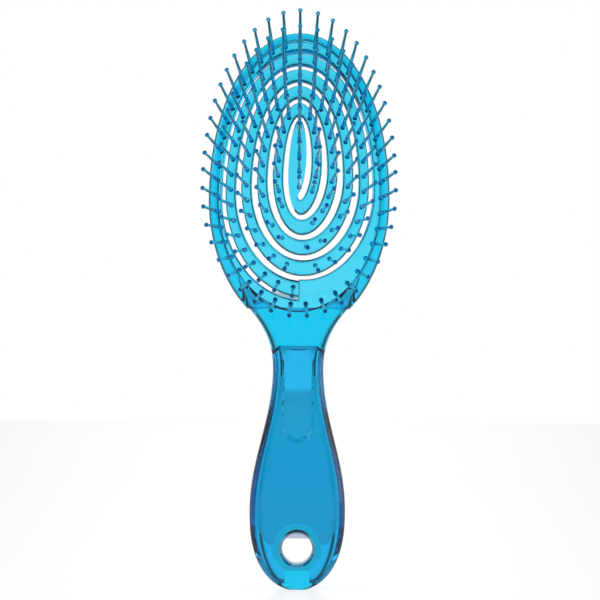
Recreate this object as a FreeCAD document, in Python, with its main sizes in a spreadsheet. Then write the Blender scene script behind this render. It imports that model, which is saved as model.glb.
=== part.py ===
"""A detangling brush: a domed head cut into a springy spiral that carries ball-tipped pins, on a hollow handle.

Millimetres, +Z up along the brush, pins towards -Y, origin in the middle of the hang hole.
"""

import FreeCAD
import Part
import math
import os

SIZES = (
    ("dome_radius", 140.0, "front face of the head, a part of a sphere"),
    ("dome_over_split", 43.0, "foremost point of the dome above the joint of handle and head"),
    ("dome_reach", 14.0, "foremost point of the dome in front of the handle's middle plane"),
    ("head_tilt", 7.0, "degrees that the head leans back"),
    ("head_width", 75.0, "rim, across"),
    ("head_top", 62.0, "rim's upper end from the head's axis"),
    ("rim_sunk", 9.6, "rim's lower end below the joint, inside the neck"),
    ("head_waist", 14.0, "widest line of the rim below the head's axis"),
    ("rim_width", 4.4, "plain band round the head"),
    ("rim_depth", 6.0, "rim, front to back"),
    ("root_height", 9.0, "solid block between the rim's lower end and the back recess"),
    ("spiral_side_inset", 6.9, "rim's edge to the middle of the outer turn, at the sides"),
    ("spiral_top_inset", 10.6, "rim's edge to the middle of the outer turn, at the top"),
    ("spiral_row_gap", 6.3, "middle of the outer turn to the rim's row of pins, at the bottom"),
    ("spiral_waist", 12.0, "widest line of the outer turn below the head's axis"),
    ("leaf_half_width", 4.6, "where the last turn ends, to the side of the head's axis"),
    ("leaf_half_length", 19.0, "where the last turn ends, above and below the head's axis"),
    ("slot_width", 2.0, "open slot between turns"),
    ("ribbon_depth", 3.0, "ribbon, front to back"),
    ("seam_gap", 0.2, "joint between one turn and the next"),
    ("pin_length", 20.0, "pin, from the ribbon to the ball's centre"),
    ("pin_root_width", 1.7, "pin at the ribbon"),
    ("pin_neck_width", 1.1, "pin under its ball"),
    ("ball_width", 1.95, "ball on the pin"),
    ("pin_pitch", 6.4, "pin to pin along a row"),
    ("pin_margin", 1.6, "last pin of a row to the ribbon's end"),
    ("row_side_inset", 3.9, "rim's edge to the row of pins inside it, at the sides"),
    ("row_top_inset", 7.4, "rim's edge to the row of pins inside it, at the top"),
    ("row_over_split", 1.3, "lowest pin above the joint of handle and head"),
    ("foot_drop", 16.3, "handle's end below the hang hole"),
    ("foot_thickness", 9.0, "handle at its end, front to back"),
    ("foot_flat", 0.7, "how far the rounded end is cut off flat"),
    ("palm_rise", 15.7, "widest part of the handle above the hang hole"),
    ("palm_width", 39.2, "handle at its widest"),
    ("palm_thickness", 17.0, "handle at its widest, front to back"),
    ("neck_rise", 73.7, "narrowest part of the handle above the hang hole"),
    ("neck_width", 20.8, "handle at its narrowest"),
    ("neck_front", 7.0, "neck in front of the middle plane"),
    ("neck_back", 6.4, "neck behind the middle plane"),
    ("split_rise", 98.7, "joint of handle and head above the hang hole"),
    ("split_width", 41.2, "joint of handle and head, across"),
    ("split_front", 6.6, "joint in front of the middle plane"),
    ("split_back", 5.0, "joint behind the middle plane"),
    ("shoulder_height", 13.0, "shoulder from the joint up into the rim"),
    ("shoulder_spread", 4.4, "how much the shoulder widens on each side"),
    ("shoulder_front", 4.8, "shoulder's upper end in front of the middle plane"),
    ("shoulder_back", -1.4, "shoulder's upper end behind the middle plane"),
    ("handle_wall", 2.2, "wall of the handle's shells"),
    ("fit_clearance", 0.1, "tang to the handle's walls"),
    ("hang_hole_width", 12.4, "hang hole"),
    ("boss_width", 19.8, "wall round the hang hole"),
    ("web_width", 10.2, "web from that wall to the handle's end"),
    ("dish_rise", 62.7, "middle of the thumb rest above the hang hole"),
    ("dish_length", 37.0, "thumb rest"),
    ("dish_width", 12.4, "thumb rest, across"),
    ("dish_depth", 1.6, "thumb rest, in its middle"),
    ("dish_bow", 0.8, "hollow of the thumb rest's floor, end to end"),
    ("overrun", 2.0, "how far a cutting shape reaches past what it cuts"),
)

TURNS = 4
PIN_SIDES = 4
TURN_ARCS = 12
ROW_SAMPLES = 720
END_POWER = 2.5
FLARE_POWER = 2.2
STEP_SHARE = 0.8
CENTRE_END_SHARE = 0.84
CENTRE_ROW_SHARES = (-0.585, 0.77)
CORNER_SHARE = 0.6
END_SHARES = (0.0, 0.05, 0.14, 0.28, 0.5, 0.75, 1.0)
GRIP_SHARES = (0.25, 0.5, 0.75, 1.0)
FLARE_SHARES = (0.35, 0.7, 1.0)
SHOULDER_SHARES = (0.0, 1.0)
SHOULDER_CHORDS = 3
HALF_ROUND = ((1, 0), (0, 1), (-1, 0))
BALL_RING_SHARES = ((-0.8, None), (0.0, 1.0), (0.8, 0.5))

doc = FreeCAD.newDocument("Brush")
sheet = doc.addObject("Spreadsheet::Sheet", "Sizes")
for row, (alias, value, note) in enumerate(SIZES, start=1):
    sheet.set(f"A{row}", note)
    sheet.set(f"B{row}", str(value))
    sheet.setAlias(f"B{row}", alias)
doc.recompute()


def size(alias):
    """A driving dimension, read from the sheet."""
    return float(getattr(sheet, alias))


def add(kind, name, **properties):
    """A document object with its properties set."""
    made = doc.addObject(kind, name)
    for key, value in properties.items():
        setattr(made, key, value)
    return made


def bind(made, **expressions):
    """Ties an object's sizes to cells of the sheet."""
    for key, expression in expressions.items():
        made.setExpression(key.replace("__", "."), expression)
    return made


def shaped(name, shape, placement=None):
    """An object that holds a worked-out shape."""
    made = add("Part::Feature", name, Shape=shape)
    if placement is not None:
        made.Placement = placement
    return made


def cut(name, base, tool):
    """One object less another."""
    return add("Part::Cut", name, Base=base, Tool=tool)


def common(name, base, tool):
    """What two objects share."""
    return add("Part::Common", name, Base=base, Tool=tool)


def fused(name, *shapes):
    """Objects joined into one."""
    return add("Part::MultiFuse", name, Shapes=list(shapes), Refine=False)


# The head's own frame: x across, y up the head, z out along its axis, from the centre of the dome
TILT = math.radians(size("head_tilt"))
HEAD_AXIS = FreeCAD.Vector(0, -math.cos(TILT), math.sin(TILT))
DOME_RISE = "(Sizes.split_rise + Sizes.dome_over_split)"
DOME_CENTRE = FreeCAD.Vector(
    0, size("dome_radius") - size("dome_reach"), size("split_rise") + size("dome_over_split")
)
HEAD_PLACE = FreeCAD.Placement(
    DOME_CENTRE,
    FreeCAD.Rotation(FreeCAD.Vector(1, 0, 0), HEAD_AXIS.cross(FreeCAD.Vector(1, 0, 0)), HEAD_AXIS, "ZXY"),
)


def down_dome(rise):
    """How far below the head's axis the dome's front reaches a height above the hang hole."""
    radius = size("dome_radius")
    return radius * math.sin(TILT + math.asin((DOME_CENTRE.z - rise) / radius))


# Half width, upper end and lower end of the rim, of the row of pins inside it and of the outer turn
RIM = (size("head_width") / 2, size("head_top"), down_dome(size("split_rise") - size("rim_sunk")))
ROW = (
    RIM[0] - size("row_side_inset"),
    RIM[1] - size("row_top_inset"),
    down_dome(size("split_rise") + size("row_over_split")),
)
OUTER_TURN = (
    RIM[0] - size("spiral_side_inset"),
    RIM[1] - size("spiral_top_inset"),
    ROW[2] - size("spiral_row_gap"),
)
LEAF = (size("leaf_half_width"), size("leaf_half_length"), size("leaf_half_length"))


def egg_point(half_width, top, bottom, waist, angle):
    """A point of an egg outline, counted from its lower end over the left side."""
    reach = bottom - waist if math.cos(angle) > 0 else top + waist
    return FreeCAD.Vector(-half_width * math.sin(angle), -waist - reach * math.cos(angle), 0)


def arc_edges(curve, start, end):
    """A curve over a stretch of turns, followed by arcs."""
    count = max(1, round(abs(end - start) * TURN_ARCS))
    half_steps = [curve(start + (end - start) * step / (2 * count)) for step in range(2 * count + 1)]
    arcs = zip(half_steps[0::2], half_steps[1::2], half_steps[2::2])
    return [Part.Arc(*points).toShape() for points in arcs]


def egg_wire(half_width, top, bottom, waist):
    """An egg outline."""
    return Part.Wire(arc_edges(lambda turn: egg_point(half_width, top, bottom, waist, 2 * math.pi * turn), 0, 1))


def spiral_point(turn, edge):
    """A point of the spiral: edge is -1 on the ribbon's inner side, 0 on its centre line and 1 on its outer side."""
    angle = 2 * math.pi * turn
    step = turn + STEP_SHARE * math.sin(angle) / (2 * math.pi)
    reaches = []
    for outer, leaf in zip(OUTER_TURN, LEAF):
        pitch = (outer - leaf) / TURNS
        reaches.append(outer - pitch * step + edge * (pitch - size("slot_width")) / 2)
    return egg_point(*reaches, size("spiral_waist") * (1 - step / (TURNS + 1)), angle)


def spiral_edge(start, end, edge):
    """One side of the ribbon over a stretch of turns."""
    return arc_edges(lambda turn: spiral_point(turn, edge), start, end)


def seam_share(turn):
    """Half of the joint between two turns, as a share of a turn."""
    return size("seam_gap") / 2 / (2 * math.pi * abs(spiral_point(turn + 1 / 4, 0).x))


def closed_wire(*sides):
    """Sides of arcs, joined end to end by straight lines."""
    edges = []
    for side, following in zip(sides, sides[1:] + sides[:1]):
        edges += side
        edges.append(Part.makeLine(side[-1].lastVertex(True).Point, following[0].firstVertex(True).Point))
    return Part.Wire(edges)


def head_prism(name, wire):
    """An outline in the head's frame, drawn out along the head's axis through the dome."""
    outline = shaped(name + "_outline", wire, HEAD_PLACE)
    prism = add("Part::Extrusion", name + "_prism", Base=outline, DirMode="Custom", Dir=HEAD_AXIS, Solid=True)
    return bind(prism, LengthFwd="Sizes.dome_radius + Sizes.overrun")


def dome(name, radius):
    """A ball about the dome's centre."""
    ball = add("Part::Sphere", name)
    bind(ball, Placement__Base__y="Sizes.dome_radius - Sizes.dome_reach", Placement__Base__z=DOME_RISE)
    return bind(ball, Radius=radius)


# Handle
def blend(low, high, share):
    """A smooth passage from one size to another."""
    return low + (high - low) * (1 - math.cos(math.pi * share)) / 2


def handle_section(rise):
    """Half width, front and back of the handle at a height above the hang hole."""
    palm = size("palm_rise")
    neck = size("neck_rise")
    if rise <= palm:
        span = palm + size("foot_drop") + size("foot_flat")
        fullness = math.sqrt(1 - ((palm - rise) / span) ** END_POWER)
        deep = size("foot_thickness") / 2
        deep += (size("palm_thickness") / 2 - deep) * fullness
        return size("palm_width") / 2 * fullness, deep, deep
    if rise <= neck:
        share = (rise - palm) / (neck - palm)
        deep = size("palm_thickness") / 2
        wide = blend(size("palm_width") / 2, size("neck_width") / 2, share)
        return wide, blend(deep, size("neck_front"), share), blend(deep, size("neck_back"), share)
    share = (rise - neck) / (size("split_rise") - neck)
    flare = share**FLARE_POWER
    wide = size("neck_width") / 2 + (size("split_width") - size("neck_width")) / 2 * flare
    front = blend(size("neck_front"), size("split_front"), share)
    return wide, front, blend(size("neck_back"), size("split_back"), share)


def joined(corners, chords=0):
    """Arcs, each given by points along it, joined end to end by straight lines; or as many chords of each."""
    edges = []
    for points, following in zip(corners, corners[1:] + corners[:1]):
        if chords:
            edges += [Part.makeLine(*pair) for pair in zip(points, points[1:])]
        else:
            edges.append(Part.Arc(points[0], points[len(points) // 2], points[-1]).toShape())
        edges.append(Part.makeLine(points[-1], following[0]))
    return Part.Wire(edges)


def section_wire(rise, wide, front, back, inset=0, chords=0):
    """A section of the handle, drawn in by a wall where asked: its corners are round, or made of chords."""
    corner = CORNER_SHARE * ((front + back) / 2 - inset)
    corners = []
    for quarter, (across, deep) in enumerate(((1, back), (-1, back), (-1, -front), (1, -front))):
        middle = FreeCAD.Vector(across * (wide - inset - corner), deep - math.copysign(inset + corner, deep), rise)
        steps = chords or 2
        turns = [math.pi / 2 * (quarter + step / steps) for step in range(steps + 1)]
        corners.append([middle + FreeCAD.Vector(math.cos(turn), math.sin(turn), 0) * corner for turn in turns])
    return joined(corners, chords)


def handle_rises():
    """Heights of the handle's sections."""
    foot = -size("foot_drop")
    palm = size("palm_rise")
    neck = size("neck_rise")
    rises = [foot + (palm - foot) * share for share in END_SHARES]
    rises += [palm + (neck - palm) * share for share in GRIP_SHARES]
    rises += [neck + (size("split_rise") - neck) * share for share in FLARE_SHARES]
    return rises


def loft(name, wires):
    """A solid through section outlines."""
    sections = [shaped(f"{name}_section_{index}", wire) for index, wire in enumerate(wires)]
    return add("Part::Loft", name, Sections=sections, Solid=True, Ruled=True, Linearize=True)


def slab(name, low, high):
    """A block across the whole brush between two heights."""
    block = add("Part::Box", name)
    bind(block, Length="2 * Sizes.head_width", Width="2 * Sizes.dome_radius", Height=f"{high} - ({low})")
    bind(block, Placement__Base__x="-Sizes.head_width", Placement__Base__y="-Sizes.dome_radius")
    return bind(block, Placement__Base__z=low)


def cross_pin(name, diameter):
    """A cylinder front to back through the hang hole's place."""
    rod = add("Part::Cylinder", name)
    rod.Placement.Rotation = FreeCAD.Rotation(FreeCAD.Vector(1, 0, 0), -90)
    bind(rod, Radius=f"{diameter} / 2", Height="2 * Sizes.palm_thickness")
    return bind(rod, Placement__Base__y="-Sizes.palm_thickness")


def dish(name, grow):
    """The round-ended, hollow-floored pocket of the thumb rest, grown by a wall where it shapes the inside."""
    rounding = size("dish_width") / 2 + grow
    straight = (size("dish_length") - size("dish_width")) / 2
    rise = size("dish_rise")
    ends = []
    for way in (1, -1):
        ends.append([FreeCAD.Vector(way * rounding * x, 0, rise + way * (straight + rounding * z)) for x, z in HALF_ROUND])
    outline = shaped(name + "_outline", joined(ends))
    pocket = add("Part::Extrusion", name + "_pocket", Base=outline, DirMode="Custom", Solid=True)
    pocket.Dir = FreeCAD.Vector(0, -1, 0)
    bind(pocket, LengthFwd="Sizes.palm_thickness")
    floor = add("Part::Cylinder", name + "_floor")
    floor.Placement.Rotation = FreeCAD.Rotation(FreeCAD.Vector(0, 1, 0), 90)
    radius = "Sizes.dish_length ^ 2 / (8 * Sizes.dish_bow)"
    bind(floor, Radius=f"{radius} + {grow}", Height="2 * Sizes.palm_width")
    bind(floor, Placement__Base__x="-Sizes.palm_width", Placement__Base__z="Sizes.dish_rise")
    front = handle_section(rise)[1]
    bind(floor, Placement__Base__y=f"Sizes.dish_depth - {front} - {radius}")
    return common(name, pocket, floor)


def handle_shells():
    """The handle's front and back shells, with the wall round the hang hole and the thumb rest."""
    rises = handle_rises()
    wall = size("handle_wall")
    outside = loft("handle_outside", [section_wire(rise, *handle_section(rise)) for rise in rises])
    foot = -size("foot_drop") + wall
    inner_rises = [foot] + [rise for rise in rises if rise > foot + wall]
    inside = loft("handle_inside", [section_wire(rise, *handle_section(rise), wall, 1) for rise in inner_rises])
    web = add("Part::Box", "hang_web")
    bind(web, Length="Sizes.web_width", Width="2 * Sizes.palm_thickness", Height="Sizes.foot_drop")
    bind(web, Placement__Base__x="-Sizes.web_width / 2", Placement__Base__y="-Sizes.palm_thickness")
    bind(web, Placement__Base__z="-Sizes.foot_drop")
    boss = fused("hang_boss", cross_pin("hang_wall", "Sizes.boss_width"), web)
    hollow = cut("handle_hollow", inside, fused("handle_fillings", boss, dish("dish_wall", wall)))
    openings = fused("handle_openings", hollow, cross_pin("hang_hole", "Sizes.hang_hole_width"), dish("dish_cut", 0))
    shells = cut("handle_both_shells", outside, openings)
    front = add("Part::Box", "front_half")
    bind(front, Length="2 * Sizes.palm_width", Width="2 * Sizes.palm_thickness", Height="2 * Sizes.split_rise")
    bind(front, Placement__Base__x="-Sizes.palm_width", Placement__Base__y="-2 * Sizes.palm_thickness")
    bind(front, Placement__Base__z="-2 * Sizes.foot_drop")
    return common("handle_front", shells, front), cut("handle_back", shells, front)


# Head
def head_frame():
    """The rim, the strip inside it that ends the spiral slot, the shoulder and the tang in the neck."""
    waist = size("head_waist")
    rim_prism = head_prism("rim", egg_wire(*RIM, waist))
    plate = common("rim_ball", rim_prism, dome("dome_front", "Sizes.dome_radius"))
    plate = cut("rim_plate", plate, dome("rim_back", "Sizes.dome_radius - Sizes.rim_depth"))
    upper = cut("rim_above_neck", plate, slab("below_neck", "-Sizes.dome_radius", "Sizes.split_rise"))

    rise = size("split_rise")
    wide, front, back = handle_section(rise)
    wires = []
    for share in SHOULDER_SHARES:
        height = rise + size("shoulder_height") * share
        spread = wide + size("shoulder_spread") * share
        deep = (blend(front, size("shoulder_front"), share), blend(back, size("shoulder_back"), share))
        wires.append(section_wire(height, spread, *deep, chords=SHOULDER_CHORDS))
    shoulder = loft("shoulder", wires)

    clearance = size("fit_clearance")
    inset = size("handle_wall") + clearance
    low = size("dish_rise") + size("dish_length") / 2 + size("handle_wall") + clearance
    tang_rises = [low] + [level for level in handle_rises() if level > low]
    tang = loft("tang", [section_wire(level, *handle_section(level), inset, 1) for level in tang_rises])

    blank = fused("head_blank", upper, shoulder, tang)
    opening = head_prism("pad_opening", closed_wire(spiral_edge(-1, 0, -1)))
    half_width, top, bottom = RIM
    band = size("rim_width")
    recess_wire = egg_wire(half_width - band, top - band, bottom - size("root_height"), waist)
    recess = common(
        "back_recess",
        head_prism("recess", recess_wire),
        dome("ribbon_back", "Sizes.dome_radius - Sizes.ribbon_depth"),
    )
    return cut("head_frame", blank, fused("head_cuts", opening, recess))


def spiral_turn(name, wire):
    """One turn of the springy ribbon, cut from the dome's shell."""
    front = common(name + "_ball", head_prism(name, wire), doc.getObject("dome_front"))
    return cut("spiral_" + name, front, doc.getObject("ribbon_back"))


def spiral_turns():
    """The ribbon's turns from the rim inwards, and the leaf in the middle."""
    made = []
    for turn in range(TURNS):
        start = turn + seam_share(turn)
        end = turn + 1 - seam_share(turn + 1)
        wire = closed_wire(spiral_edge(start, end, 1), spiral_edge(end, start, -1))
        made.append(spiral_turn(f"turn_{turn + 1}", wire))
    start = TURNS + seam_share(TURNS)
    tip = TURNS + CENTRE_END_SHARE
    inner = spiral_point(start, -1)
    outer = spiral_edge(start, tip, 1)
    foot = [Part.makeLine(spiral_point(tip, 1), inner), Part.makeLine(inner, spiral_point(start, 1))]
    made.append(spiral_turn("centre", Part.Wire(outer + foot)))
    return made


# Pins
def pin_shape():
    """A tapered pin with a ball on its end, along +Z from its root, its few sides as full as a round one."""
    fullness = math.sqrt(2 * math.pi / (PIN_SIDES * math.sin(2 * math.pi / PIN_SIDES)))
    ball = size("ball_width") / 2
    rings = [(0, size("pin_root_width") / 2)]
    for height_share, width_share in BALL_RING_SHARES:
        width = size("pin_neck_width") / 2 if width_share is None else ball * width_share
        rings.append((size("pin_length") + ball * height_share, width))
    sections = []
    for index, (height, radius) in enumerate(rings):
        ring = add("Part::RegularPolygon", f"pin_ring_{index}", Polygon=PIN_SIDES, Circumradius=radius * fullness)
        ring.Placement.Base = FreeCAD.Vector(0, 0, height)
        sections.append(ring)
    pin = add("Part::Loft", "pin", Sections=sections, Solid=True, Ruled=True, Linearize=True)
    doc.recompute()
    return pin.Shape


def pin_at(pin, point):
    """A pin that stands square on the dome over a point of the head's plane."""
    radius = size("dome_radius")
    height = math.sqrt(radius**2 - point.x**2 - point.y**2)
    root = FreeCAD.Vector(point.x, point.y, height)
    stand = FreeCAD.Placement(root, FreeCAD.Rotation(FreeCAD.Vector(0, 0, 1), root))
    placed = pin.copy()
    placed.Placement = stand
    return placed


def spaced(curve, first, last, middle):
    """Points along a curve at the pins' pitch, counted both ways from its middle."""
    pitch = size("pin_pitch")
    points = [curve(middle)]
    for end in (first, last):
        travelled = 0
        before = points[0]
        for step in range(1, ROW_SAMPLES + 1):
            here = curve(middle + (end - middle) * step / ROW_SAMPLES)
            travelled += (here - before).Length
            before = here
            if travelled >= pitch:
                points.append(here)
                travelled -= pitch
    return points


def pin_row(name, pin, points):
    """A row of pins, each a piece of its own."""
    row_shape = Part.makeCompound([pin_at(pin, point) for point in points])
    return shaped(name, row_shape, HEAD_PLACE)


def rim_row_points():
    """Places of the pins round the rim, evenly spaced, one at the top."""
    waist = size("head_waist")
    samples = [egg_point(*ROW, waist, math.pi + 2 * math.pi * step / ROW_SAMPLES) for step in range(ROW_SAMPLES + 1)]
    lengths = [0.0]
    for before, here in zip(samples, samples[1:]):
        lengths.append(lengths[-1] + (here - before).Length)
    count = round(lengths[-1] / size("pin_pitch"))
    points = []
    for index in range(count):
        target = lengths[-1] * index / count
        points.append(next(sample for sample, length in zip(samples, lengths) if length >= target))
    return points


def pin_rows():
    """Rows of pins on the rim, on each turn and on the leaf in the middle."""
    pin = pin_shape()
    rows = [pin_row("pins_rim", pin, rim_row_points())]
    for turn in range(TURNS):
        edge_share = size("pin_margin") * seam_share(turn + 1) / (size("seam_gap") / 2)
        points = spaced(lambda place: spiral_point(place, 0), turn + edge_share, turn + 1 - edge_share, turn + 1 / 2)
        rows.append(pin_row(f"pins_turn_{turn + 1}", pin, points))
    low, high = [share * spiral_point(TURNS, 0).Length for share in CENTRE_ROW_SHARES]
    count = math.floor((high - low) / size("pin_pitch"))
    leaf = [FreeCAD.Vector(0, low + size("pin_pitch") * index, 0) for index in range(count + 1)]
    rows.append(pin_row("pins_centre", pin, leaf))
    return rows


def main():
    """Builds the brush, checks every piece and writes the pieces."""
    pieces = [head_frame(), *handle_shells(), *spiral_turns(), *pin_rows()]
    doc.recompute()
    for made in doc.Objects:
        if {"Invalid", "Error"} & set(made.State):
            raise RuntimeError(f"{made.Name} failed: {made.State}")
    for piece in pieces:
        if piece.Shape.isNull() or not piece.Shape.isValid():
            raise RuntimeError(f"{piece.Name} has no valid shape")
    os.makedirs("parts", exist_ok=True)
    for piece in pieces:
        piece.Label = piece.Name
        piece.Shape.exportStep(f"parts/{piece.Label}.step")
        print(piece.Label, len(piece.Shape.Solids), "solids", round(piece.Shape.Volume, 1), "mm3")


main()
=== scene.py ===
"""A clear aqua detangling brush with a spiral-cut, pin-covered head, dressed over its CAD frame."""

import logging
import math
from collections.abc import Callable, Sequence
from dataclasses import dataclass
from enum import Enum

import bmesh
import bpy
import numpy as np
from mathutils import Matrix, Vector


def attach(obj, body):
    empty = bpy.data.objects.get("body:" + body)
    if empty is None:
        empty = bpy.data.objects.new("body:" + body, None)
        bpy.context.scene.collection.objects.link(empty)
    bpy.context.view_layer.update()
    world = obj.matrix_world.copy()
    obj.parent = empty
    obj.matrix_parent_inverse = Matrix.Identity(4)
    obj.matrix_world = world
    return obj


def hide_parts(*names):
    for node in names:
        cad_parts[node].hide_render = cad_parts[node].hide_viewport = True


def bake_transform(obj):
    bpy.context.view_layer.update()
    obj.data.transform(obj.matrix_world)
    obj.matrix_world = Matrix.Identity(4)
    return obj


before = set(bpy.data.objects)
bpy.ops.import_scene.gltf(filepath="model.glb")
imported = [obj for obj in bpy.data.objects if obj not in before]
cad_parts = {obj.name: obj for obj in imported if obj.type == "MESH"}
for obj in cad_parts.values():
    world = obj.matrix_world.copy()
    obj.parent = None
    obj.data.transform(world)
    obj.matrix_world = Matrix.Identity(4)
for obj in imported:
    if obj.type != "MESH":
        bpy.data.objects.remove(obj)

MM = 0.001
LOG = logging.getLogger("detangling_brush")


class Body(Enum):
    """The parts of the brush that move as one."""

    FRAME = "frame"
    TURN_1 = "turn_1"
    TURN_2 = "turn_2"
    TURN_3 = "turn_3"
    TURN_4 = "turn_4"
    CENTRE = "centre"


CHAIN = tuple(Body)


# Modelling steps
def start_fresh() -> None:
    """Leave edit mode and select nothing."""
    if bpy.context.object and bpy.context.object.mode != "OBJECT":
        bpy.ops.object.mode_set(mode="OBJECT")
    bpy.ops.object.select_all(action="DESELECT")


def named(name: str) -> bpy.types.Object:
    """Name the primitive that was just added and return it."""
    piece = bpy.context.object
    piece.name = name
    piece.data.name = name
    return piece


def make_active(piece: bpy.types.Object) -> None:
    """Select one piece alone."""
    start_fresh()
    piece.select_set(True)
    bpy.context.view_layer.objects.active = piece


def modify(piece: bpy.types.Object, kind: str, **settings: object) -> None:
    """Add a modifier and apply it.

    Args:
        piece: The mesh to change.
        kind: Blender's name of the modifier.
        settings: The modifier's own values.
    """
    make_active(piece)
    modifier = piece.modifiers.new(kind.lower(), kind)
    for key, value in settings.items():
        setattr(modifier, key, value)
    bpy.ops.object.modifier_apply(modifier=modifier.name)


def combine(piece: bpy.types.Object, tool: bpy.types.Object, operation: str) -> None:
    """Join a closed tool to a closed piece, or cut it out, and drop the tool.

    Args:
        piece: The mesh that stays.
        tool: The mesh that is used up.
        operation: UNION or DIFFERENCE.
    """
    modify(piece, "BOOLEAN", operation=operation, object=tool, solver="EXACT")
    bpy.data.objects.remove(tool)


def tidy(piece: bpy.types.Object, angle: float = 35.0) -> None:
    """Merge doubles, turn all faces outwards and shade the soft parts smooth.

    Args:
        piece: The closed mesh to tidy.
        angle: Edges sharper than this many degrees stay crisp.
    """
    make_active(piece)
    bpy.ops.object.mode_set(mode="EDIT")
    bpy.ops.mesh.select_all(action="SELECT")
    bpy.ops.mesh.remove_doubles(threshold=0.01 * MM)
    bpy.ops.mesh.normals_make_consistent(inside=False)
    bpy.ops.object.mode_set(mode="OBJECT")
    bpy.ops.object.shade_smooth_by_angle(angle=math.radians(angle))


def lay_sheet(
    name: str, steps: tuple[int, int], place: Callable[[float, float], np.ndarray]
) -> bpy.types.Object:
    """Add a grid and lay each of its corners where the piece runs.

    Args:
        name: The piece's name.
        steps: Squares along and across.
        place: Gives the point in millimetres for the share along, 0 to 1, and across, -1 to 1.

    Returns:
        The laid sheet, with no thickness yet.
    """
    start_fresh()
    bpy.ops.mesh.primitive_grid_add(x_subdivisions=steps[0], y_subdivisions=steps[1], size=2)
    sheet = named(name)
    for corner in sheet.data.vertices:
        corner.co = Vector(place((corner.co.x + 1) / 2, corner.co.y)) * MM
    return sheet


def stack_rings(name: str, rings: Sequence[np.ndarray]) -> bpy.types.Object:
    """Extrude a filled circle from ring to ring and shape each ring on the way.

    Args:
        name: The piece's name.
        rings: The rings' points in millimetres, all of one count, each in the same order.

    Returns:
        The closed solid.
    """
    start_fresh()
    bpy.ops.mesh.primitive_circle_add(vertices=len(rings[0]), radius=MM, fill_type="NGON")
    solid = named(name)
    for corner, point in zip(solid.data.vertices, rings[0]):
        corner.co = Vector(point) * MM
    bpy.ops.object.mode_set(mode="EDIT")
    bpy.ops.mesh.select_all(action="SELECT")
    for low, high in zip(rings, rings[1:]):
        bpy.ops.mesh.extrude_region_move()
        mesh = bmesh.from_edit_mesh(solid.data)
        order = {tuple(round(value, 4) for value in point): place for place, point in enumerate(low)}
        for corner in [vertex for vertex in mesh.verts if vertex.select]:
            place = order[tuple(round(value / MM, 4) + 0.0 for value in corner.co)]
            corner.co = Vector(high[place]) * MM
        bmesh.update_edit_mesh(solid.data)
    bpy.ops.object.mode_set(mode="OBJECT")
    return solid


def round_bar(
    name: str, width: float, length: float, lip: float, centre: tuple[float, float, float]
) -> bpy.types.Object:
    """A bar along Y that widens to a lip at both ends.

    Args:
        name: The bar's name.
        width: Its diameter in millimetres.
        length: Its length in millimetres.
        lip: How much its radius grows over its last millimetres at each end.
        centre: Its middle in millimetres.

    Returns:
        The closed bar.
    """
    angles = np.linspace(0, 2 * np.pi, 72, endpoint=False)
    stations = [(-0.5, lip), (-0.36, lip * 0.55), (-0.27, lip * 0.15), (-0.18, 0.0)]
    stations += [(-share, grow) for share, grow in reversed(stations)]
    rings = []
    for share, grow in stations:
        reach = width / 2 + grow
        rings.append(
            np.round(
                np.stack(
                    [
                        centre[0] + reach * np.cos(angles),
                        np.full_like(angles, centre[1] + share * length),
                        centre[2] + reach * np.sin(angles),
                    ],
                    axis=1,
                ),
                4,
            )
        )
    bar = stack_rings(name, rings)
    tidy(bar)
    return bar


def ease(share: float | np.ndarray) -> float | np.ndarray:
    """A soft step from 0 to 1."""
    held = np.clip(share, 0.0, 1.0)
    return held * held * (3 - 2 * held)


def swing(low: float, high: float, share: float) -> float:
    """A value that swings from low to high along half a wave."""
    return low + (high - low) * (1 - math.cos(math.pi * share)) / 2


# Finishes
def socket(tree: bpy.types.NodeTree, name: str, kind: str, side: str, value: float | None = None) -> None:
    """Give a node group a named socket.

    Args:
        tree: The group.
        name: The socket's name.
        kind: NodeSocketFloat, NodeSocketColor or NodeSocketVector.
        side: INPUT or OUTPUT.
        value: Its starting value, where it has one.
    """
    made = tree.interface.new_socket(name=name, in_out=side, socket_type=kind)
    if value is not None:
        made.default_value = value


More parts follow.
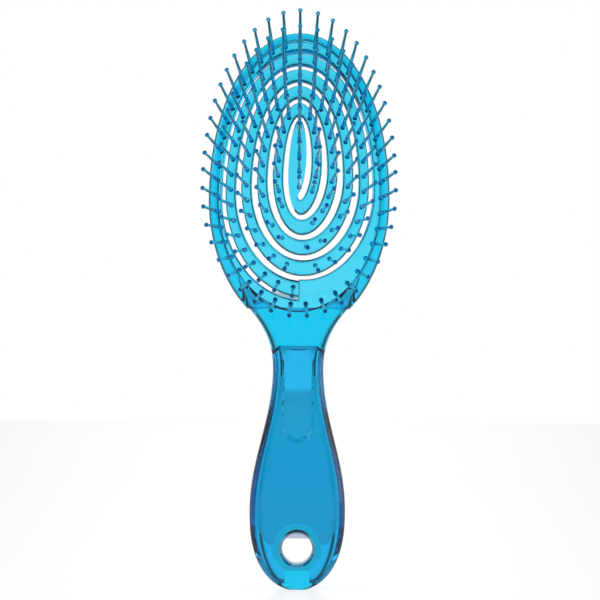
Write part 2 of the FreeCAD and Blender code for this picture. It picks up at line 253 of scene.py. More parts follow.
def mould_flow() -> bpy.types.NodeTree:
    """The faint waves and streaks that the melt leaves in a clear moulding.

    Returns:
        A group that puts out a tint, a roughness and a height.
    """
    tree = bpy.data.node_groups.new("MouldFlow", "ShaderNodeTree")
    socket(tree, "Wave Scale", "NodeSocketFloat", "INPUT", 60.0)
    socket(tree, "Streak Scale", "NodeSocketFloat", "INPUT", 400.0)
    socket(tree, "Roughness Low", "NodeSocketFloat", "INPUT", 0.02)
    socket(tree, "Roughness High", "NodeSocketFloat", "INPUT", 0.06)
    socket(tree, "Clear", "NodeSocketColor", "INPUT")
    socket(tree, "Streak", "NodeSocketColor", "INPUT")
    socket(tree, "Tint", "NodeSocketColor", "OUTPUT")
    socket(tree, "Roughness", "NodeSocketFloat", "OUTPUT")
    socket(tree, "Height", "NodeSocketFloat", "OUTPUT")
    nodes = tree.nodes
    link = tree.links.new
    inputs = nodes.new("NodeGroupInput")
    outputs = nodes.new("NodeGroupOutput")
    where = nodes.new("ShaderNodeTexCoord")
    stretch = nodes.new("ShaderNodeMapping")
    stretch.inputs["Scale"].default_value = (1.0, 1.0, 0.25)
    link(where.outputs["Object"], stretch.inputs["Vector"])
    wave = nodes.new("ShaderNodeTexNoise")
    wave.inputs["Detail"].default_value = 1.0
    streak = nodes.new("ShaderNodeTexNoise")
    streak.inputs["Detail"].default_value = 3.0
    link(stretch.outputs["Vector"], wave.inputs["Vector"])
    link(stretch.outputs["Vector"], streak.inputs["Vector"])
    link(inputs.outputs["Wave Scale"], wave.inputs["Scale"])
    link(inputs.outputs["Streak Scale"], streak.inputs["Scale"])
    tint = nodes.new("ShaderNodeMix")
    tint.data_type = "RGBA"
    link(streak.outputs["Fac"], tint.inputs["Factor"])
    link(inputs.outputs["Clear"], tint.inputs["A"])
    link(inputs.outputs["Streak"], tint.inputs["B"])
    rough = nodes.new("ShaderNodeMapRange")
    link(streak.outputs["Fac"], rough.inputs["Value"])
    link(inputs.outputs["Roughness Low"], rough.inputs["To Min"])
    link(inputs.outputs["Roughness High"], rough.inputs["To Max"])
    link(tint.outputs["Result"], outputs.inputs["Tint"])
    link(rough.outputs["Result"], outputs.inputs["Roughness"])
    link(wave.outputs["Fac"], outputs.inputs["Height"])
    return tree


@dataclass(frozen=True)
class ClearPlastic:
    """A clear, coloured moulding plastic: light loses its red on the way through."""

    name: str
    clear: tuple[float, float, float, float] = (0.74, 0.83, 1.0, 1.0)
    streak: tuple[float, float, float, float] = (0.68, 0.79, 0.99, 1.0)
    absorb: tuple[float, float, float, float] = (0.0, 0.94, 0.982, 1.0)
    density: float = 300.0
    ior: float = 1.47
    wave_scale: float = 60.0
    wave_depth: float = 0.25
    roughness: tuple[float, float] = (0.02, 0.06)

    def make(self, flow: bpy.types.NodeTree) -> bpy.types.Material:
        """Build the material.

        Args:
            flow: The group of mould waves and streaks.

        Returns:
            The material.
        """
        material = bpy.data.materials.new(self.name)
        material.use_nodes = True
        tree = material.node_tree
        link = tree.links.new
        shader = tree.nodes["Principled BSDF"]
        shader.inputs["Transmission Weight"].default_value = 1.0
        shader.inputs["IOR"].default_value = self.ior
        marks = tree.nodes.new("ShaderNodeGroup")
        marks.node_tree = flow
        marks.inputs["Wave Scale"].default_value = self.wave_scale
        marks.inputs["Roughness Low"].default_value = self.roughness[0]
        marks.inputs["Roughness High"].default_value = self.roughness[1]
        marks.inputs["Clear"].default_value = self.clear
        marks.inputs["Streak"].default_value = self.streak
        link(marks.outputs["Tint"], shader.inputs["Base Color"])
        link(marks.outputs["Roughness"], shader.inputs["Roughness"])
        bump = tree.nodes.new("ShaderNodeBump")
        bump.inputs["Strength"].default_value = self.wave_depth
        bump.inputs["Distance"].default_value = 0.2 * MM
        link(marks.outputs["Height"], bump.inputs["Height"])
        link(bump.outputs["Normal"], shader.inputs["Normal"])
        through = tree.nodes.new("ShaderNodeBsdfTransparent")
        through.inputs["Color"].default_value = (0.72, 0.93, 1.0, 1.0)
        path = tree.nodes.new("ShaderNodeLightPath")
        mix = tree.nodes.new("ShaderNodeMixShader")
        link(path.outputs["Is Shadow Ray"], mix.inputs["Fac"])
        link(shader.outputs["BSDF"], mix.inputs[1])
        link(through.outputs["BSDF"], mix.inputs[2])
        out = tree.nodes["Material Output"]
        link(mix.outputs["Shader"], out.inputs["Surface"])
        body = tree.nodes.new("ShaderNodeVolumeAbsorption")
        body.inputs["Color"].default_value = self.absorb
        body.inputs["Density"].default_value = self.density
        link(body.outputs["Volume"], out.inputs["Volume"])
        return material


def dress(piece: bpy.types.Object, material: bpy.types.Material) -> None:
    """Give a piece its finish."""
    piece.data.materials.clear()
    piece.data.materials.append(material)


# Head
@dataclass
class Dome:
    """The ball-shaped front of the head and the spiral that is cut into it, in millimetres."""

    radius: float = 140.0
    rise: float = 141.7
    reach: float = 14.0
    tilt: float = math.radians(7.0)
    half_width: float = 37.5
    top: float = 62.0
    lowest: float = 89.1
    waist: float = 14.0
    side_inset: float = 6.9
    end_inset: float = 10.6
    split_rise: float = 98.7
    row_over_split: float = 1.3
    row_gap: float = 6.3
    spiral_waist: float = 12.0
    leaf: tuple[float, float, float] = (4.6, 19.0, 19.0)
    slot: float = 2.0
    turns: int = 4
    seams: tuple[float, ...] = (0.0, 1.0, 2.0, 3.0, 4.0)
    step_share: float = 0.8
    leaf_share: float = 0.84

    @property
    def axis(self) -> np.ndarray:
        """The way the head faces."""
        return np.array([0.0, -math.cos(self.tilt), math.sin(self.tilt)])

    @property
    def up(self) -> np.ndarray:
        """The way up the head's face."""
        return np.array([0.0, math.sin(self.tilt), math.cos(self.tilt)])

    @property
    def centre(self) -> np.ndarray:
        """The middle of the ball."""
        return np.array([0.0, self.radius - self.reach, self.rise])

    def down(self, rise: float) -> float:
        """How far down the head's face a height on the dome lies."""
        return self.radius * math.sin(self.tilt + math.asin((self.rise - rise) / self.radius))

    def lift(self, across: float, along: float, depth: float) -> np.ndarray:
        """Lift a point of the head's face onto the dome.

        Args:
            across: Along X.
            along: Up the head's face.
            depth: How far below the dome's front.

        Returns:
            The point in the row's frame.
        """
        out = math.sqrt(max((self.radius - depth) ** 2 - across**2 - along**2, 0.0))
        return self.centre + np.array([across, 0, 0]) + along * self.up + out * self.axis

    def egg(self, side: float, end: float, angle: float) -> tuple[float, float]:
        """A point on the rim's egg drawn in from its sides and ends.

        Args:
            side: How far in at the sides and the top.
            end: How far in at the lower end.
            angle: 0 at the lower end, over the left side.

        Returns:
            The point on the head's face.
        """
        low = self.down(self.lowest) - end
        swept = math.cos(angle)
        reach = low - self.waist if swept > 0 else self.top - side + self.waist
        return -(self.half_width - side) * math.sin(angle), -self.waist - reach * swept

    @property
    def outer_turn(self) -> tuple[float, float, float]:
        """Half width, top and bottom of the spiral's outer turn."""
        bottom = self.down(self.split_rise + self.row_over_split) - self.row_gap
        return self.half_width - self.side_inset, self.top - self.end_inset, bottom

    def spiral(self, turn: float, edge: float) -> tuple[float, float]:
        """A point on the ribbon.

        Args:
            turn: Turns from the lower end over the left and inwards.
            edge: 1 on the outer edge, -1 on the inner one.

        Returns:
            The point on the head's face.
        """
        angle = 2 * math.pi * turn
        step = turn + self.step_share * math.sin(angle) / (2 * math.pi)
        reaches = []
        for outer, inner in zip(self.outer_turn, self.leaf):
            pitch = (outer - inner) / self.turns
            reaches.append(outer - pitch * step + edge * (pitch - self.slot) / 2)
        half_width, top, bottom = reaches
        waist = self.spiral_waist * (1 - step / (self.turns + 1))
        swept = math.cos(angle)
        reach = bottom - waist if swept > 0 else top + waist
        return -half_width * math.sin(angle), -waist - reach * swept

    def speed(self, turn: float) -> float:
        """Length of ribbon for each turn at a place along it."""
        near = 0.001
        before = np.array(self.spiral(turn - near, 0))
        return float(np.linalg.norm(np.array(self.spiral(turn + near, 0)) - before)) / (2 * near)


@dataclass
class Ribbon:
    """The springy ribbon in turns, the short webs that join them, and the leaf in the middle."""

    dome: Dome
    depth: float = 3.0
    round_over: float = 1.0
    web_reach: float = 1.5
    web_lap: float = 0.05

    def web_share(self, seam: float) -> float:
        """How much of a turn a web takes on one side of its seam."""
        return self.web_reach / self.dome.speed(seam)

    def stretch(self, name: str, start: float, end: float, steps: int) -> bpy.types.Object:
        """Lay one stretch of ribbon on the dome and give it its thickness and round edges.

        Args:
            name: The piece's name.
            start: Where it starts, in turns.
            end: Where it ends, in turns.
            steps: Squares along it.

        Returns:
            The finished stretch.
        """

        rings = []
        for turn in np.linspace(start, end, steps + 1):
            sides = [np.array(self.dome.spiral(turn, edge)) for edge in (1, -1)]
            half = float(np.linalg.norm(sides[0] - sides[1])) / 2
            ring = [
                self.dome.lift(*self.dome.spiral(turn, across / half), depth)
                for across, depth in self.section(half)
            ]
            rings.append(np.round(np.array(ring), 4) + 0.0)
        piece = stack_rings(name, rings)
        tidy(piece)
        return piece

    def section(self, half: float) -> list[tuple[float, float]]:
        """The ribbon's rounded section.

        Args:
            half: Half its width.

        Returns:
            Places across and depths, once round.
        """
        loop = []
        for quarter, (side, deep) in enumerate(((1, 1), (-1, 1), (-1, -1), (1, -1))):
            across = side * (half - self.round_over)
            depth = self.depth / 2 + deep * (self.depth / 2 - self.round_over)
            for turn in np.linspace(quarter, quarter + 1, 6) * math.pi / 2:
                loop.append((across + self.round_over * math.cos(turn), depth + self.round_over * math.sin(turn)))
        return loop

    def thicken(self, sheet: bpy.types.Object) -> bpy.types.Object:
        """Give a laid sheet its thickness towards the back, and rounded edges."""
        make_active(sheet)
        bpy.ops.object.mode_set(mode="EDIT")
        bpy.ops.mesh.select_all(action="SELECT")
        bpy.ops.mesh.remove_doubles(threshold=0.02 * MM)
        mesh = bmesh.from_edit_mesh(sheet.data)
        towards = Vector(self.dome.axis)
        if sum((face.normal.dot(towards) for face in mesh.faces)) < 0:
            bpy.ops.mesh.flip_normals()
        bpy.ops.object.mode_set(mode="OBJECT")
        modify(sheet, "SOLIDIFY", thickness=self.depth * MM, offset=-1.0, use_even_offset=True)
        modify(
            sheet,
            "BEVEL",
            width=self.round_over * MM,
            segments=5,
            limit_method="ANGLE",
            angle_limit=math.radians(50),
            use_clamp_overlap=True,
        )
        tidy(sheet)
        return sheet

    def leaf_sheet(self) -> bpy.types.Object:
        """The pointed leaf in which the ribbon ends."""
        start = self.dome.seams[-1] + self.web_share(self.dome.seams[-1])
        end = self.dome.seams[-1] + self.dome.leaf_share
        edge = np.array([self.dome.spiral(turn, 1) for turn in np.linspace(start, end, 240)])
        lowest = int(np.argmin(edge[:, 1]))
        highest = int(np.argmax(edge[:, 1]))
        left = edge[lowest : highest + 1]
        inner = np.array([self.dome.spiral(start, -1)])
        right = np.concatenate([edge[: lowest + 1][::-1], inner, edge[highest:][::-1]])
        low, high = edge[lowest, 1], edge[highest, 1]
        shape = np.maximum.accumulate(right[:, 1])

        def place(share: float, across: float) -> np.ndarray:
            """A point of the leaf on the dome's front."""
            along = low + (high - low) * (1 - math.cos(math.pi * share)) / 2
            near = np.interp(along, left[:, 1], left[:, 0])
            far = max(np.interp(along, shape, right[:, 0]), near)
            return self.dome.lift(near + (far - near) * (across + 1) / 2, along, 0.0)

        return self.thicken(lay_sheet("leaf", (56, 8), place))

    def build(self, material: bpy.types.Material) -> None:
        """Make the turns, webs and leaf and set the turns and the leaf each on its body.

        Args:
            material: The ribbon's finish.
        """
        seams = self.dome.seams
        for index, (first, last) in enumerate(zip(seams, seams[1:])):
            start = first + self.web_share(first)
            end = last - self.web_share(last)
            length = self.dome.speed((start + end) / 2) * (end - start)
            piece = self.stretch(f"turn_{index + 1}_ribbon", start, end, round(length / 1.4))
            dress(piece, material)
            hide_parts(f"spiral_turn_{index + 1}")
            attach(piece, CHAIN[index + 1].value)
            LOG.info("%s with %d faces", piece.name, len(piece.data.polygons))
        leaf = self.leaf_sheet()
        dress(leaf, material)
        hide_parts("spiral_centre")
        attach(leaf, Body.CENTRE.value)
        LOG.info("%s with %d faces", leaf.name, len(leaf.data.polygons))
        for index, seam in enumerate(seams):
            share = self.web_share(seam)
            start = seam - share if index else seam
            lap = self.web_lap / self.dome.speed(seam)
            web = self.stretch(f"web_{index + 1}", start - lap, seam + share + lap, 6)
            dress(web, material)
            ends = [self.dome.lift(*self.dome.spiral(place, 0), 0.0) for place in (start, seam + share)]
            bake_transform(web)
            LOG.info("%s with %d faces", web.name, len(web.data.polygons))


@dataclass
class HeadFrame:
    """The egg-shaped rim, the strip inside it and the shoulder that runs into the neck."""

    dome: Dome
    band: float = 4.4
    band_depth: float = 6.0
    root: float = 9.0
    outer_round: float = 1.7
    inner_round: float = 0.8
    strip_depth: float = 3.0
    strip_lap: float = 0.008
    shoulder_height: float = 13.0
    shoulder_spread: float = 4.4
    shoulder_front: float = 4.8
    shoulder_back: float = -1.4

    def band_loop(self) -> list[tuple[float, float]]:
        """The band's section as shares inwards and depths, once round."""
        corners = (
            (0.0, 0.0, self.outer_round, 180),
            (self.band, 0.0, self.inner_round, 270),
            (self.band, self.band_depth, self.inner_round, 0),
            (0.0, self.band_depth, self.outer_round, 90),
        )
        loop = []
        for inwards, depth, rounding, start in corners:
            middle_in = inwards + math.copysign(rounding, self.band / 2 - inwards)
            middle_deep = depth + math.copysign(rounding, self.band_depth / 2 - depth)
            for step in range(6):
                turn = math.radians(start + 18 * step)
                loop.append((middle_in + rounding * math.cos(turn), middle_deep + rounding * math.sin(turn)))
        return [(inwards / self.band, depth) for inwards, depth in loop]

    def rim(self) -> bpy.types.Object:
        """The rounded band round the head, cut off level with the neck."""
        loop = self.band_loop()
        around = 192
        start_fresh()
        bpy.ops.mesh.primitive_torus_add(major_segments=around, minor_segments=len(loop))
        ring = named("head_rim")
        for number, corner in enumerate(ring.data.vertices):
            angle = 2 * math.pi * (number // len(loop)) / around
            inwards, depth = loop[number % len(loop)]
            outer = np.array(self.dome.egg(0, 0, angle))
            inner = np.array(self.dome.egg(self.band, self.root, angle))
            corner.co = Vector(self.dome.lift(*(outer + (inner - outer) * inwards), depth)) * MM
        tidy(ring)
        start_fresh()
        bpy.ops.mesh.primitive_cube_add(size=60 * MM, location=(0, 0, (self.dome.split_rise - 30.2) * MM))
        combine(ring, named("below_neck"), "DIFFERENCE")
        tidy(ring)
        return ring

    def strip(self, name: str, start: float, end: float) -> bpy.types.Object:
        """A stretch of the thinner strip between the rim and the spiral's first slot.

        Args:
            name: The stretch's name.
            start: Where it starts, in turns.
            end: Where it ends, in turns.

        Returns:
            The closed stretch.
        """

        def place(share: float, edge: float) -> np.ndarray:
            """A point of the strip on the dome's front."""
            turn = start + (end - start) * share
            outer = np.array(self.dome.egg(self.band * 0.8, self.root * 0.8, 2 * math.pi * turn))
            inner = np.array(self.dome.spiral(turn, -1))
            return self.dome.lift(*(inner + (outer - inner) * (edge + 1) / 2), 0.0)

        return Ribbon(self.dome).thicken(lay_sheet(name, (84, 5), place))

    def shoulder(self, handle: "Handle") -> bpy.types.Object:
        """The shoulder from the neck up into the rim.

        Args:
            handle: The handle whose neck it continues.

        Returns:
            The closed shoulder.
        """
        low = self.dome.split_rise
        wide, front, back = handle.section(low)
        rings = []
        for share in np.linspace(0, 1, 10):
            spread = wide + self.shoulder_spread * share
            ahead = swing(front, self.shoulder_front, share)
            behind = swing(back, self.shoulder_back, share)
            rise = low - 0.2 + (self.shoulder_height + 0.2) * share
            rings.append(handle.ring_of(rise, spread, ahead, behind, 0.0))
        shoulder = stack_rings("head_shoulder", rings)
        tidy(shoulder)
        combine(shoulder, self.recess(), "DIFFERENCE")
        return shoulder

    def recess(self) -> bpy.types.Object:
        """The hollow behind the spiral, up to the backs of the ribbons."""
        angles = np.linspace(0, 2 * np.pi, 144, endpoint=False)
        edge = np.array([self.dome.egg(self.band, self.root, angle) for angle in angles])
        middle = np.array([0.0, -self.dome.waist])
        rings = []
        for share, depth in ((0.05, 0.0), (0.3, 0.0), (0.6, 0.0), (0.85, 0.0), (1.0, 0.0), (1.0, 40.0)):
            drawn = middle + (edge - middle) * share
            ring = [self.dome.lift(*point, self.strip_depth + depth) for point in drawn]
            rings.append(np.round(np.array(ring), 4))
        hollow = stack_rings("head_recess", rings)
        tidy(hollow)
        return hollow

    def build(self, handle: "Handle", material: bpy.types.Material) -> None:
        """Make the frame as one piece and set it in place.

        Args:
            handle: The handle whose neck it continues.
            material: The frame's finish.
        """
        rim = self.rim()
        start = self.dome.seams[0]
        lap = self.strip_lap
        combine(rim, self.strip("strip_left", start - 1 - lap, start - 0.5 + lap), "UNION")
        combine(rim, self.strip("strip_right", start - 0.5 - lap, start), "UNION")
        combine(rim, self.shoulder(handle), "UNION")
        tidy(rim)
        rim.name = "head_frame_clear"
        dress(rim, material)
        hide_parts("head_frame")
        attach(rim, Body.FRAME.value)
        LOG.info("%s with %d faces", rim.name, len(rim.data.polygons))


# Handle
@dataclass
class Handle:
    """The hollow handle with its thumb rest, hang hole and waist, in millimetres."""

    foot_drop: float = 16.3
    foot_flat: float = 0.7
    foot_thickness: float = 9.0
    palm_rise: float = 15.7
    palm_width: float = 39.2
    palm_thickness: float = 17.0
    neck_rise: float = 73.7
    neck_width: float = 20.8
    neck_front: float = 7.0
    neck_back: float = 6.4
    split_rise: float = 98.7
    split_width: float = 41.2
    split_front: float = 6.6
    split_back: float = 5.0
    end_power: float = 2.5
    flare_power: float = 2.2
    corner_share: float = 0.6
    wall: float = 2.2
    hollow_foot: float = -13.4
    hollow_top: float = 83.0
    hole_width: float = 12.4
    hole_lip: float = 1.0
    boss_width: float = 19.8
    web_width: float = 10.2
    dish_rise: float = 62.7
    dish_length: float = 37.0
    dish_width: float = 12.4
    dish_depth: float = 1.6
    dish_bow: float = 0.8

    def section(self, rise: float) -> tuple[float, float, float]:
        """Half width, front and back of the handle at a height above the hang hole."""
        deep = self.palm_thickness / 2
        if rise <= self.palm_rise:
            span = self.palm_rise + self.foot_drop + self.foot_flat
            full = math.sqrt(1 - ((self.palm_rise - rise) / span) ** self.end_power)
            thick = self.foot_thickness / 2 + (deep - self.foot_thickness / 2) * full
            return self.palm_width / 2 * full, thick, thick
        if rise <= self.neck_rise:
            share = (rise - self.palm_rise) / (self.neck_rise - self.palm_rise)
            wide = swing(self.palm_width / 2, self.neck_width / 2, share)
            return wide, swing(deep, self.neck_front, share), swing(deep, self.neck_back, share)
        share = (rise - self.neck_rise) / (self.split_rise - self.neck_rise)
        wide = self.neck_width / 2 + (self.split_width - self.neck_width) / 2 * share**self.flare_power
        front = swing(self.neck_front, self.split_front, share)
        return wide, front, swing(self.neck_back, self.split_back, share)

    def dish_share(self, across: np.ndarray, rise: float, grow: float) -> np.ndarray:
        """How far inside the thumb rest's edge points lie, as a soft share from 0 to 1."""
        straight = (self.dish_length - self.dish_width) / 2
        over = max(abs(rise - self.dish_rise) - straight, 0.0)
        inside = self.dish_width / 2 + grow - np.sqrt(across**2 + over**2)
        return ease((inside + 0.1) / 0.6)

    def ring_of(
        self, rise: float, wide: float, front: float, back: float, inset: float, dished: bool = False
    ) -> np.ndarray:
        """One section of the handle with round corners.

        Args:
            rise: Its height.
            wide: Its half width.
            front: How far it reaches to the front.
            back: How far it reaches to the back.
            inset: How far it is drawn in.
            dished: Whether the thumb rest is pressed into it.

        Returns:
            Its points in order.
        """
        corner = self.corner_share * ((front + back) / 2 - inset)
        corner = min(corner, wide - inset - 0.05)
        points = []
        corners = ((1, back), (-1, back), (-1, -front), (1, -front))
        for quarter, (side, deep) in enumerate(corners):
            middle = np.array([side * (wide - inset - corner), deep - math.copysign(inset + corner, deep)])
            for turn in np.linspace(quarter, quarter + 1, 9) * math.pi / 2:
                points.append(middle + corner * np.array([math.cos(turn), math.sin(turn)]))
            following_side, following_deep = corners[(quarter + 1) % 4]
            following = np.array(
                [
                    following_side * (wide - inset - corner),
                    following_deep - math.copysign(inset + corner, following_deep),
                ]
            )
            turn = (quarter + 1) * math.pi / 2
            following = following + corner * np.array([math.cos(turn), math.sin(turn)])
            runs = 24 if quarter % 2 == 0 else 4
            last = points[-1]
            for share in np.linspace(0, 1, runs + 2)[1:-1]:
                points.append(last + (following - last) * share)
        ring = np.column_stack([np.array(points), np.full(len(points), rise)])
        if dished:
            floor = self.dish_depth - self.section(self.dish_rise)[1] + inset
            floor -= self.dish_bow * (2 * (rise - self.dish_rise) / self.dish_length) ** 2
            share = self.dish_share(ring[:, 0], rise, inset) * (ring[:, 1] < 0)
            sunk = np.maximum(floor - ring[:, 1], 0.0)
            ring[:, 1] += share * sunk
        return np.round(ring, 4)

    def levels(self, low: float, high: float) -> np.ndarray:
        """Heights of the rings, closer together near the foot."""
        shares = np.linspace(0, 1, 96)
        return low + (high - low) * (0.6 * shares + 0.4 * shares**1.8)

    def outside(self) -> bpy.types.Object:
        """The handle's outer form, with a rounded foot and the thumb rest pressed in."""
        rings = []
        for rise in self.levels(-self.foot_drop, self.split_rise):
            rings.append(self.ring_of(rise, *self.section(rise), 0.0, dished=True))
        outer = stack_rings("handle_clear", rings)
        tidy(outer)
        return outer

    def hollow(self) -> bpy.types.Object:
        """The space inside, with the wall round the hang hole and the web below it left standing."""
        rings = []
        for rise in self.levels(self.hollow_foot, self.hollow_top):
            near_end = min(rise - self.hollow_foot, self.hollow_top - rise)
            draw_in = self.wall + 1.6 * (1 - math.sqrt(1 - (1 - min(near_end / 1.6, 1.0)) ** 2))
            rings.append(self.ring_of(rise, *self.section(rise), draw_in))
        space = stack_rings("handle_hollow", rings)
        tidy(space)
        boss = round_bar("hang_boss", self.boss_width, 40.0, 0.0, (0.0, 0.0, 0.0))
        combine(space, boss, "DIFFERENCE")
        start_fresh()
        bpy.ops.mesh.primitive_cube_add(size=20 * MM, location=(0, 0, -10 * MM))
        web = named("hang_web")
        bpy.ops.object.mode_set(mode="EDIT")
        bpy.ops.mesh.select_all(action="SELECT")
        bpy.ops.transform.resize(value=(self.web_width / 20, 1.5, 1.0))
        bpy.ops.mesh.bevel(offset=1.2 * MM, segments=3)
        bpy.ops.object.mode_set(mode="OBJECT")
        bpy.ops.object.transform_apply(location=True, rotation=True, scale=True)
        tidy(web)
        combine(space, web, "DIFFERENCE")
        return space

    def build(self, material: bpy.types.Material) -> None:
        """Make the handle and set it in place.

        Args:
            material: The handle's finish.
        """
        outer = self.outside()
        combine(outer, self.hollow(), "DIFFERENCE")
        depth = 2 * self.section(0.0)[1]
        hole = round_bar("hang_hole", self.hole_width, depth + 0.4, self.hole_lip, (0.0, 0.0, 0.0))
        combine(outer, hole, "DIFFERENCE")
        tidy(outer, 40.0)
        dress(outer, material)
        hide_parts("handle_front", "handle_back")
        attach(outer, Body.FRAME.value)
        LOG.info("%s with %d faces", outer.name, len(outer.data.polygons))


# Pins
@dataclass
class Pins:
    """The ball-tipped pins that stand square on the dome, in millimetres."""

    dome: Dome
    length: float = 20.0
    root_radius: float = 0.85
    neck_radius: float = 0.55
    ball_radius: float = 0.975
    sides: int = 8
    sunk: float = 0.5
    apart: float = 0.02

    def one_pin(self) -> bpy.types.Object:
        """A single pin that stands on the origin."""
        ball = self.ball_radius
        stations = (
            (-self.sunk, self.root_radius * 1.25),
            (0.05, self.root_radius * 1.25),
            (0.55, self.root_radius),
            (self.length - 0.85 * ball, self.neck_radius),
            (self.length - 0.5 * ball, ball * 0.86),
            (self.length, ball),
            (self.length + 0.5 * ball, ball * 0.85),
            (self.length + 0.78 * ball, ball * 0.48),
        )
        angles = np.linspace(0, 2 * np.pi, self.sides, endpoint=False)
        rings = []
        for height, reach in stations:
            ring = [reach * np.cos(angles), reach * np.sin(angles), np.full_like(angles, height)]
            rings.append(np.round(np.stack(ring, axis=1), 4) + 0.0)
        pin = stack_rings("pin", rings)
        tidy(pin, 60.0)
        return pin

    def directions(self, node: str) -> list[Vector]:
        """The ways in which a node's pins point.

        Args:
            node: The node that holds one row of pins.

        Returns:
            One direction from the dome's middle for each pin.
        """
        middle = Vector(self.dome.centre) * MM
        sums: list[Vector] = []
        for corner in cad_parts[node].data.vertices:
            way = (corner.co - middle).normalized()
            near = next((known for known in sums if known.normalized().dot(way) > math.cos(self.apart)), None)
            if near is None:
                sums.append(way.copy())
            else:
                near += way
        return [known.normalized() for known in sums]

    def row(self, pin: bpy.types.Object, node: str, body: Body, material: bpy.types.Material) -> None:
        """Copy the pin to every place in a row and join the row.

        Args:
            pin: The single pin.
            node: The node that holds the row.
            body: The body that the row rides on.
            material: The pins' finish.
        """
        middle = Vector(self.dome.centre) * MM
        start_fresh()
        copies = []
        for way in self.directions(node):
            copied = pin.copy()
            copied.data = pin.data.copy()
            bpy.context.collection.objects.link(copied)
            turn = Vector((0, 0, 1)).rotation_difference(way).to_matrix().to_4x4()
            copied.matrix_world = Matrix.Translation(middle + way * self.dome.radius * MM) @ turn
            copies.append(copied)
        for copied in copies:
            copied.select_set(True)
        bpy.context.view_layer.objects.active = copies[0]
        bpy.context.view_layer.update()
        bpy.ops.object.join()
        bpy.ops.object.transform_apply(location=True, rotation=True, scale=True)
        row = named(node + "_clear")
        dress(row, material)
        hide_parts(node)
        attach(row, body.value)
        LOG.info("%s with %d pins and %d faces", row.name, len(copies), len(row.data.polygons))

    def build(self, material: bpy.types.Material) -> None:
        """Make all rows of pins.

        Args:
            material: The pins' finish.
        """
        pin = self.one_pin()
        nodes = ("pins_rim", "pins_turn_1", "pins_turn_2", "pins_turn_3", "pins_turn_4", "pins_centre")
        for node, body in zip(nodes, CHAIN):
            self.row(pin, node, body, material)
        bpy.data.objects.remove(pin)


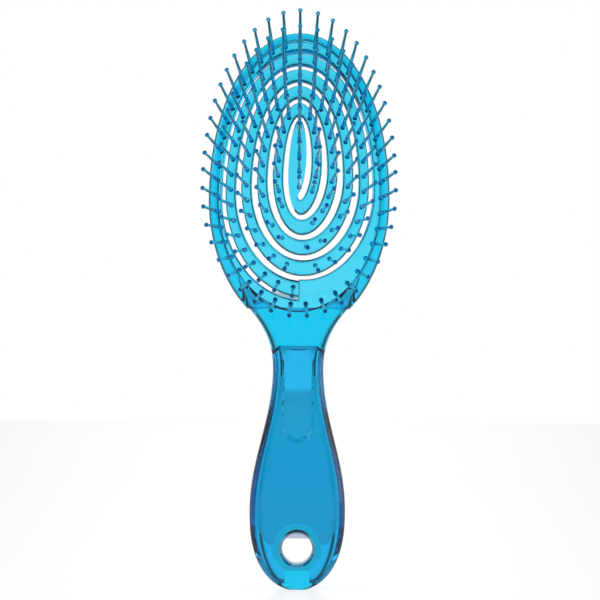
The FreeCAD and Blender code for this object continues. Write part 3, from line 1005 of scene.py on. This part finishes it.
# Studio
@dataclass
class Studio:
    """A pale floor, soft light and the camera of the photograph, in millimetres."""

    floor_rise: float = -16.3
    eye: tuple[float, float, float] = (0.6, -548.7, 63.9)
    target: tuple[float, float, float] = (0.6, 0.0, 102.3)
    roll: float = 0.35
    lens: float = 79.1
    share_of_glow: float = 0.75
    floor_reach: float = 3.0
    # Painted shade: how bright the floor's glow is along Y, for rays that the plastic reflects or bends
    floor_painted_shade: tuple[tuple[float, float], ...] = ((0.0, 0.35), (0.1, 0.62), (0.4, 0.5), (0.55, 0.55), (0.9, 1.0))
    world_light: float = 1.08
    front_light: float = 0.3
    panels: float = 8.0
    tiers: float = 4.5
    gap_light: float = 0.04

    def floor(self) -> None:
        """A wide floor that looks white and keeps the shadow; the glow that the plastic reflects and bends is painted
        darker under and in front of the brush.
        """
        start_fresh()
        bpy.ops.mesh.primitive_plane_add(size=6.0, location=(0, 0, self.floor_rise * MM))
        plane = named("studio_floor")
        material = bpy.data.materials.new("pale_floor")
        material.use_nodes = True
        tree = material.node_tree
        link = tree.links.new
        shader = tree.nodes["Principled BSDF"]
        shader.inputs["Base Color"].default_value = (0.9, 0.9, 0.9, 1.0)
        shader.inputs["Roughness"].default_value = 0.12
        glow = tree.nodes.new("ShaderNodeEmission")
        path = tree.nodes.new("ShaderNodeLightPath")
        seen = tree.nodes.new("ShaderNodeMath")
        seen.operation = "MAXIMUM"
        link(path.outputs["Is Camera Ray"], seen.inputs[0])
        link(path.outputs["Is Glossy Ray"], seen.inputs[1])
        through = tree.nodes.new("ShaderNodeMath")
        through.operation = "MAXIMUM"
        link(seen.outputs["Value"], through.inputs[0])
        link(path.outputs["Is Transmission Ray"], through.inputs[1])
        part = tree.nodes.new("ShaderNodeMapRange")
        part.inputs["To Max"].default_value = self.share_of_glow
        link(through.outputs["Value"], part.inputs["Value"])
        where = tree.nodes.new("ShaderNodeTexCoord")
        parts = tree.nodes.new("ShaderNodeSeparateXYZ")
        link(where.outputs["Object"], parts.inputs["Vector"])
        off = tree.nodes.new("ShaderNodeMapRange")
        off.inputs["From Max"].default_value = self.floor_reach
        link(parts.outputs["Y"], off.inputs["Value"])
        # Painted shade: the floor's glow seen in the plastic is darker in front of and beneath the brush and white
        # only far behind it
        painted_shade_ramp = tree.nodes.new("ShaderNodeValToRGB")
        for place, (share, light) in enumerate(self.floor_painted_shade):
            stops = painted_shade_ramp.color_ramp.elements
            stop = stops[place] if place < 2 else stops.new(share)
            stop.position = share
            stop.color = (light, light, light, 1.0)
        link(off.outputs["Result"], painted_shade_ramp.inputs["Fac"])
        level = tree.nodes.new("ShaderNodeMix")
        level.data_type = "RGBA"
        level.inputs["A"].default_value = (1.0, 1.0, 1.0, 1.0)
        bent = tree.nodes.new("ShaderNodeMath")
        bent.operation = "MAXIMUM"
        link(path.outputs["Is Glossy Ray"], bent.inputs[0])
        link(path.outputs["Is Transmission Ray"], bent.inputs[1])
        link(bent.outputs["Value"], level.inputs["Factor"])
        link(painted_shade_ramp.outputs["Color"], level.inputs["B"])
        link(level.outputs["Result"], glow.inputs["Color"])
        mix = tree.nodes.new("ShaderNodeMixShader")
        link(part.outputs["Result"], mix.inputs["Fac"])
        link(shader.outputs["BSDF"], mix.inputs[1])
        link(glow.outputs["Emission"], mix.inputs[2])
        link(mix.outputs["Shader"], tree.nodes["Material Output"].inputs["Surface"])
        plane.data.materials.append(material)

    def world(self) -> None:
        """A white surrounding for the camera, and bright panels with dimmer gaps that the plastic bends into lines."""
        world = bpy.data.worlds.new("studio_world")
        world.use_nodes = True
        tree = world.node_tree
        link = tree.links.new

        def math_node(operation: str, first: object, second: object = 0.0) -> bpy.types.NodeSocket:
            """Add a sum of two sockets or numbers and return what comes out."""
            node = tree.nodes.new("ShaderNodeMath")
            node.operation = operation
            for place, value in enumerate((first, second)):
                if isinstance(value, float):
                    node.inputs[place].default_value = value
                else:
                    link(value, node.inputs[place])
            return node.outputs["Value"]

        where = tree.nodes.new("ShaderNodeTexCoord")
        parts = tree.nodes.new("ShaderNodeSeparateXYZ")
        link(where.outputs["Generated"], parts.inputs["Vector"])
        azimuth = math_node("ARCTAN2", parts.outputs["X"], parts.outputs["Y"])
        panels = math_node("COSINE", math_node("MULTIPLY", azimuth, self.panels))
        height = math_node("COSINE", math_node("MULTIPLY", parts.outputs["Z"], self.tiers))
        gap = math_node("POWER", math_node("MULTIPLY", math_node("SUBTRACT", 1.0, panels), 0.5), 1.6)
        tier = math_node("POWER", math_node("MULTIPLY", math_node("SUBTRACT", 1.0, height), 0.5), 2.0)
        lit = math_node("MULTIPLY", math_node("SUBTRACT", 1.0, gap), math_node("SUBTRACT", 1.0, tier))
        ahead = math_node("MAXIMUM", math_node("MULTIPLY", parts.outputs["Y"], -1.0), 0.0)
        front = math_node("SUBTRACT", 1.0, math_node("MULTIPLY", ahead, 1 - self.front_light))
        shaded = math_node("MULTIPLY", lit, front)
        level = math_node("ADD", math_node("MULTIPLY", shaded, 1 - self.gap_light), self.gap_light)
        seen = tree.nodes.new("ShaderNodeBackground")
        link(level, seen.inputs["Color"])
        plain = tree.nodes["Background"]
        plain.inputs["Color"].default_value = (1.0, 1.0, 1.0, 1.0)
        plain.inputs["Strength"].default_value = self.world_light
        white = tree.nodes.new("ShaderNodeBackground")
        white.inputs["Color"].default_value = (1.0, 1.0, 1.0, 1.0)
        white.inputs["Strength"].default_value = 1.0
        path = tree.nodes.new("ShaderNodeLightPath")
        bent = math_node("MAXIMUM", path.outputs["Is Glossy Ray"], path.outputs["Is Transmission Ray"])
        mix = tree.nodes.new("ShaderNodeMixShader")
        link(bent, mix.inputs["Fac"])
        link(plain.outputs["Background"], mix.inputs[1])
        link(seen.outputs["Background"], mix.inputs[2])
        last = tree.nodes.new("ShaderNodeMixShader")
        link(path.outputs["Is Camera Ray"], last.inputs["Fac"])
        link(mix.outputs["Shader"], last.inputs[1])
        link(white.outputs["Background"], last.inputs[2])
        link(last.outputs["Shader"], tree.nodes["World Output"].inputs["Surface"])
        bpy.context.scene.world = world

    def lamp(self, name: str, place: tuple[float, float, float], size: float, power: float) -> None:
        """A soft square lamp that faces the brush.

        Args:
            name: The lamp's name.
            place: Where it stands, in millimetres.
            size: Its side in millimetres.
            power: Its power in watts.
        """
        data = bpy.data.lights.new(name, "AREA")
        data.size = size * MM
        data.energy = power
        lamp = bpy.data.objects.new(name, data)
        lamp.location = Vector(place) * MM
        facing = Vector(self.target) - Vector(place)
        lamp.rotation_euler = facing.to_track_quat("-Z", "Y").to_euler()
        bpy.context.collection.objects.link(lamp)

    def camera(self) -> None:
        """The photograph's camera."""
        data = bpy.data.cameras.new("studio_camera")
        data.lens = self.lens
        data.sensor_width = 36.0
        data.clip_start = 0.01
        camera = bpy.data.objects.new("studio_camera", data)
        camera.location = Vector(self.eye) * MM
        facing = (Vector(self.target) - Vector(self.eye)).to_track_quat("-Z", "Y")
        camera.rotation_euler = (facing @ Matrix.Rotation(math.radians(self.roll), 3, "Z").to_quaternion()).to_euler()
        bpy.context.collection.objects.link(camera)
        bpy.context.scene.camera = camera

    def build(self) -> None:
        """Set up floor, light and camera."""
        self.floor()
        self.world()
        self.lamp("key_lamp", (-900, -150, 900), 1000, 5.0)
        self.lamp("fill_lamp", (900, -100, 400), 1000, 3.0)
        self.camera()
        bpy.context.scene.view_settings.view_transform = "Standard"


def main() -> None:
    """Build the brush and the studio round it."""
    logging.basicConfig(level=logging.INFO, format="%(message)s")
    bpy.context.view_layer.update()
    flow = mould_flow()
    shell = ClearPlastic("clear_aqua_handle", density=420.0).make(flow)
    rim = ClearPlastic("clear_aqua_frame", density=800.0).make(flow)
    springy = ClearPlastic("clear_aqua_ribbon", density=800.0, wave_scale=110.0).make(flow)
    # Painted shade: the pins are a darker-tinted, denser copy of the same clear plastic, standing in for the dark look
    # that refraction gives them
    pin_plastic_painted_darker = ClearPlastic(
        "clear_aqua_pins_painted_darker", clear=(0.5, 0.68, 0.94, 1.0), density=1700.0, wave_scale=160.0, wave_depth=0.1
    ).make(flow)
    dome = Dome()
    handle = Handle()
    handle.build(shell)
    HeadFrame(dome).build(handle, rim)
    Ribbon(dome).build(springy)
    Pins(dome).build(pin_plastic_painted_darker)
    Studio().build()


if __name__ == "__main__":
    main()
